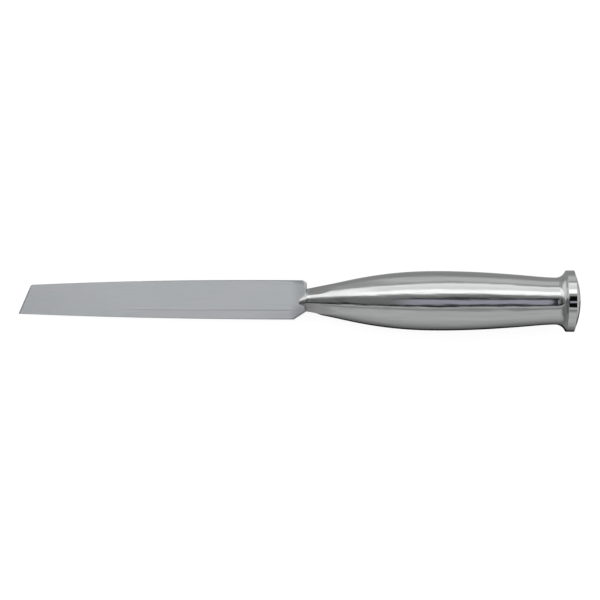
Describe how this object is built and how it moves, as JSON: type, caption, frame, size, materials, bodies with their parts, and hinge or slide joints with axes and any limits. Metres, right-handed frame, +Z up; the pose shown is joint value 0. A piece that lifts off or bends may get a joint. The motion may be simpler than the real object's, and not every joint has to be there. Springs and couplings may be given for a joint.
{
  "type": "osteotome",
  "caption": "One-piece steel surgical osteotome: flat tapered blade with a skew cutting edge, round bellied handle and domed striking head.",
  "frame": {"origin": "on the surface the tool lies on, under the centre of its bounding box", "axes": "+X along the tool from the cutting edge towards the striking head, +Y across the blade towards the near corner of the skew edge, +Z up"},
  "size_m": [0.2046, 0.022, 0.0257],
  "materials": {
    "steel": "stainless steel: satin fine-brushed blade, polished handle and head"
  },
  "bodies": {
    "root": {"osteotome": "steel"}
  },
  "joints": []
}
